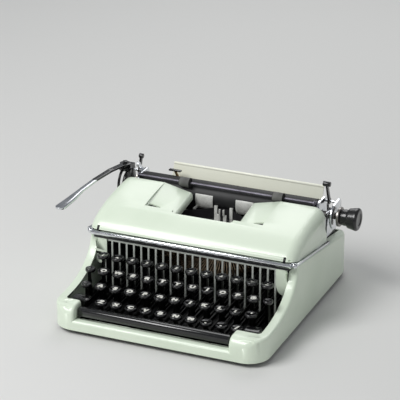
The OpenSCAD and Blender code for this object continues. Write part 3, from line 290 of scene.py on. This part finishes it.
def top_mesh(name, places, radius):
    """The keytops at the given places as one mesh."""
    work = bmesh.new()
    for place in places:
        add_top(work, place, radius)
    bmesh.ops.remove_doubles(work, verts=work.verts, dist=0.001)
    bmesh.ops.transform(work, matrix=Matrix.Scale(mm, 4), verts=work.verts)
    bmesh.ops.recalc_face_normals(work, faces=work.faces)
    for face in work.faces:
        face.smooth = True
    mesh = bpy.data.meshes.new(name)
    work.to_mesh(mesh)
    work.free()
    return mesh


def add_legend(work, sign, place, size, lift=0.0):
    """A flat sign laid into the dish of a keytop."""
    curve = bpy.data.curves.new("sign", "FONT")
    curve.body = sign
    curve.size = size
    curve.align_x = "CENTER"
    curve.align_y = "CENTER"
    curve.offset = 0.08 * size
    curve.resolution_u = 3
    text = bpy.data.objects.new("sign", curve)
    scene.collection.objects.link(text)
    flat = bpy.data.meshes.new_from_object(text.evaluated_get(bpy.context.evaluated_depsgraph_get()))
    bpy.data.objects.remove(text)
    before = len(work.verts)
    work.from_mesh(flat)
    bpy.data.meshes.remove(flat)
    work.verts.ensure_lookup_table()
    fresh = work.verts[before:]
    middle = sum((max(v.co.x for v in fresh), min(v.co.x for v in fresh))) / 2
    for v in fresh:
        v.co.x -= middle
        r = v.co.xy.length
        v.co = Vector((place.x + v.co.x, place.y + v.co.y + lift, place.z - .93 + .012 * r * r))


def legend_mesh(name, signs):
    """All signs of a row as one mesh; each has its place, its size and its lift to the rear."""
    work = bmesh.new()
    for sign, place, size, lift in signs:
        add_legend(work, sign, place, size, lift)
    bmesh.ops.transform(work, matrix=Matrix.Scale(mm, 4), verts=work.verts)
    mesh = bpy.data.meshes.new(name)
    work.to_mesh(mesh)
    work.free()
    return mesh


def lever_mesh(node, tops):
    """The levers of a node: its merged CAD mesh without the keytops."""
    mesh = rounded(node, 0)
    work = bmesh.new()
    work.from_mesh(mesh)
    gone = []
    for face in work.faces:
        c = face.calc_center_median() / mm
        if any(c.z > place.z - top_height + tolerance and (c.xy - place.xy).length < reach
               for place, reach in tops):
            gone.append(face)
    bmesh.ops.delete(work, geom=gone, context="FACES")
    work.to_mesh(mesh)
    work.free()
    return mesh


def dress_keys(node, body, places, signs, radius=7.5):
    """Keytops, levers and signs of one node."""
    caps = piece(node + "_tops", top_mesh(node + "_tops", places, radius), body, "key_plastic", key_black)
    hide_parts(node)
    levers = lever_mesh(node, [(p, radius + .5) for p in places])
    piece(node + "_levers", levers, body, "steel", plated)
    if signs:
        piece(node + "_signs", legend_mesh(node + "_signs", signs), body, "key_plastic", legend_white)


shifted = "!\"#$%&'()*_+"
letter_size, digit_size, shifted_size = 9.6, 6.8, 5.4
digit_lift, shifted_lift = -2.7, 3.0
number_places = [key_place(0, i) for i in range(12)]
dress_keys("number_row_keys", "number_row", number_places,
           [(s, p, digit_size, digit_lift) for s, p in zip(legends[0], number_places)]
           + [(s, p, shifted_size, shifted_lift) for s, p in zip(shifted, number_places)])
upper_places = [key_place(1, i) for i in range(11)]
dress_keys("upper_row_keys", "upper_row", upper_places,
           [(s, p, letter_size, 0) for s, p in zip(legends[1] + "@", upper_places)])
lower_places = [key_place(3, i) for i in range(10)]
dress_keys("lower_row_keys", "lower_row", lower_places,
           [(s, p, letter_size, 0) for s, p in zip(legends[3], lower_places)])
home = [(s.lower(), s) for s in legends[2]] + [("semicolon", ";"), ("quote", "'")]
for i, (name, sign) in enumerate(home):
    dress_keys("key_" + name, name + "_key", [key_place(2, i)], [(sign, key_place(2, i), letter_size, 0)])

# ---------------------------------------------------------------- side keys, shift keys and spacebar
# The small round side keys and the oblong shift keys are moulded like the letter keys. The
# spacebar is one black moulding on two steel arms.
small_radius = 6
margin_place = Vector((first_x - 2 * quarter + 1.5, row_y + 2 * pitch, row_height[1]))
back_place = Vector((first_x + 46 * quarter - 1, row_y + 2 * pitch, row_height[1]))
lock_place = Vector((first_x - quarter + .6, row_y + pitch, row_height[2]))
dress_keys("margin_release_key", "margin_release", [margin_place], [], small_radius)
dress_keys("backspace_key", "backspace", [back_place], [], small_radius)
dress_keys("shift_lock_key", "shift_lock", [lock_place], [], small_radius)
shift_foot, shift_rear = row_height[3] - top_height - tolerance, -90
for node in ("shift_left", "shift_right"):
    dressed(node, "key_plastic", plated, .35 * mm, 40, 2, key_black,
            lambda c: c.y < shift_rear and c.z > shift_foot)
bar_top, bar_depth, bar_rear = 30, 9, -127
dressed("spacebar", "key_plastic", plated, .35 * mm, 40, 2, key_black,
        lambda c: c.z > bar_top - bar_depth - tolerance and c.y < bar_rear)

# ---------------------------------------------------------------- shaft and comb
# All levers turn on one ground steel shaft, and a punched comb behind the keys keeps them
# apart.
dressed("key_shaft", "steel", steel, .2 * mm)
# The comb's pale, nearly matte colour is painted highlight: it stands in for glints of light on the levers
# under the moulding.
comb_painted_glint = surface("comb_painted_glint", (.86, .88, .85), (.76, .78, .75), patch=70, rough=.4, spread=.12,
                     grain=1500, depth=.008 * mm, metal=.2)
dressed("lever_comb", "steel", comb_painted_glint, .2 * mm)

# ---------------------------------------------------------------- type basket
# Forged and ground typebars hang in the milled slots of the segment and meet at one printing
# point. Oil and ink have browned them.
bar_steel = surface("typebar_steel", (.46, .40, .32), (.30, .26, .22), patch=130, rough=.36, spread=.2,
                    grain=2600, depth=.008 * mm, metal=1)
segment_steel = surface("segment_steel", (.40, .39, .38), (.26, .25, .24), patch=60, rough=.4, spread=.2,
                        grain=1800, depth=.015 * mm, metal=1)
dressed("type_segment", "steel", segment_steel, .15 * mm)
dressed("typebars", "steel", bar_steel, 0)
dressed("striking_typebar", "steel", bar_steel, .08 * mm)

# ---------------------------------------------------------------- ribbon
# The inked cotton ribbon runs from spool to spool through the plated fork of the vibrator.
# Spools and cups are pressed sheet metal.
cup_metal = surface("cup_metal", (.20, .20, .21), (.15, .15, .15), patch=50, rough=.45, spread=.15,
                    grain=1500, depth=.01 * mm)
spool_metal = surface("spool_metal", (.66, .67, .68), (.52, .52, .52), patch=70, rough=.3, spread=.15,
                      grain=1900, depth=.006 * mm, metal=1)
ink = surface("inked_cotton", (.06, .055, .07), (.09, .08, .10), patch=160, rough=.85, spread=.2,
              grain=3200, depth=.06 * mm)
dressed("spool_cups", "frame_paint", cup_metal, .25 * mm)
dressed("spool_left", "spool_metal", spool_metal, .2 * mm)
dressed("spool_right", "spool_metal", spool_metal, .2 * mm)
dressed("ribbon", "ribbon_fabric", ink, 0)
dressed("ribbon_span", "ribbon_fabric", ink, 0)
bright_nickel = surface("bright_nickel", (.93, .93, .91), (.82, .82, .80), patch=90, rough=.3, spread=.12,
                        grain=1700, depth=.005 * mm, metal=.25)
dressed("ribbon_vibrator", "steel", bright_nickel, .15 * mm)
dressed("type_guide", "steel", bright_nickel, .15 * mm)

# ---------------------------------------------------------------- carriage
# The carriage is a folded steel channel with plated end plates. The rubber platen, its shaft
# and the knob turn in them, over a row of rubber feed rollers.
carriage_grey = surface("carriage_grey", (.30, .30, .30), (.24, .24, .24), patch=50, rough=.45, spread=.12,
                        grain=1300, depth=.015 * mm)
platen_black = surface("platen_rubber", (.10, .10, .105), (.14, .14, .14), patch=50, rough=.55, spread=.12,
                       grain=2600, depth=.02 * mm)
black_and_painted_reflection = surface("black_and_painted_reflection", (.07, .07, .075), (.10, .10, .10), patch=60, rough=.25, spread=.1,
                     grain=1500, depth=.01 * mm, coat=.3)
left_plate_outer_x = -128
dressed("carriage_frame", "carriage_paint", carriage_grey, .25 * mm)
dressed("carriage_end_left", "end_plate", chrome, .3 * mm, 35, 2, black_and_painted_reflection,
        lambda c: c.x < left_plate_outer_x)
dressed("carriage_end_right", "end_plate", chrome, .3 * mm)
dressed("platen", "platen_rubber", platen_black, .6 * mm)
dressed("platen_shaft", "bright_trim", steel, .3 * mm)
dressed("platen_knob", "knob_plastic", black_and_painted_reflection, .2 * mm)
dressed("line_ratchet", "steel", steel, .1 * mm)
dressed("feed_roller", "platen_rubber", rubber, .3 * mm)

# ---------------------------------------------------------------- paper table, bail and levers
# The cream paper table leans back behind the platen. The bail holds the paper on the platen
# with two grey rubber rollers, and the levers are plated or black steel; the return lever's black inner part
# is painted dark reflection on its chrome.
cream = surface("cream_enamel", (.97, .975, .91), (.95, .955, .88), patch=16, rough=.34, spread=.06,
                grain=800, depth=.02 * mm, coat=.3)
golden = surface("worn_brass", (.74, .60, .36), (.60, .47, .28), patch=90, rough=.3, spread=.15,
                 grain=1800, depth=.01 * mm, metal=1)
# The bail's dull lilac grey is painted reflection: it stands in for what the chrome bar reflects.
bail_painted_reflection = surface("bail_painted_reflection", (.50, .49, .53), (.38, .37, .40), patch=80, rough=.42, spread=.15,
                     grain=1600, depth=.008 * mm, metal=.6)
grey_rubber = surface("grey_rubber", (.42, .42, .41), (.34, .34, .33), patch=90, rough=.75, spread=.12,
                      grain=2600, depth=.03 * mm)
guide_head_z, lever_dark_reflection_y = 121, 22
roller_ends, end_band = (-59.5, -45.5, 62.5, 76.5), 1.6
dressed("paper_table", "table_paint", cream, .35 * mm)
dressed("paper_guide", "guide_brass", golden, .2 * mm, 35, 2, black_and_painted_reflection, lambda c: c.z > guide_head_z)
dressed("margin_stop_left", "bright_trim", chrome, .3 * mm)
dressed("margin_stop_right", "bright_trim", chrome, .3 * mm)
dressed("paper_bail", "bright_trim", bail_painted_reflection, .2 * mm)
dressed("bail_rollers", "bail_rubber", grey_rubber, .8 * mm, 35, 2, rubber,
        lambda c: min(abs(c.x - x) for x in roller_ends) < end_band)
# The return lever's inner part is painted black as the dark reflection its chrome shows; the rest stays
# chrome.
dressed("return_lever", "bright_trim", chrome, .4 * mm, 35, 2, black_and_painted_reflection, lambda c: c.y > lever_dark_reflection_y)
dressed("paper_release_lever", "bright_trim", black_and_painted_reflection, .3 * mm)
dressed("line_space_lever", "bright_trim", chrome, .3 * mm)
dressed("carriage_release_lever", "bright_trim", black_and_painted_reflection, .3 * mm)

# ---------------------------------------------------------------- drum and bell
# The mainspring drum pulls the carriage along, and a nickelled bell warns at the line's end.
nickel = surface("nickelled_bell", (.80, .78, .70), (.68, .65, .57), patch=60, rough=.2, spread=.1, grain=1500,
                 depth=.004 * mm, metal=1)
dressed("mainspring_drum", "steel", steel, .2 * mm)
dressed("bell", "bell_metal", nickel, .1 * mm)
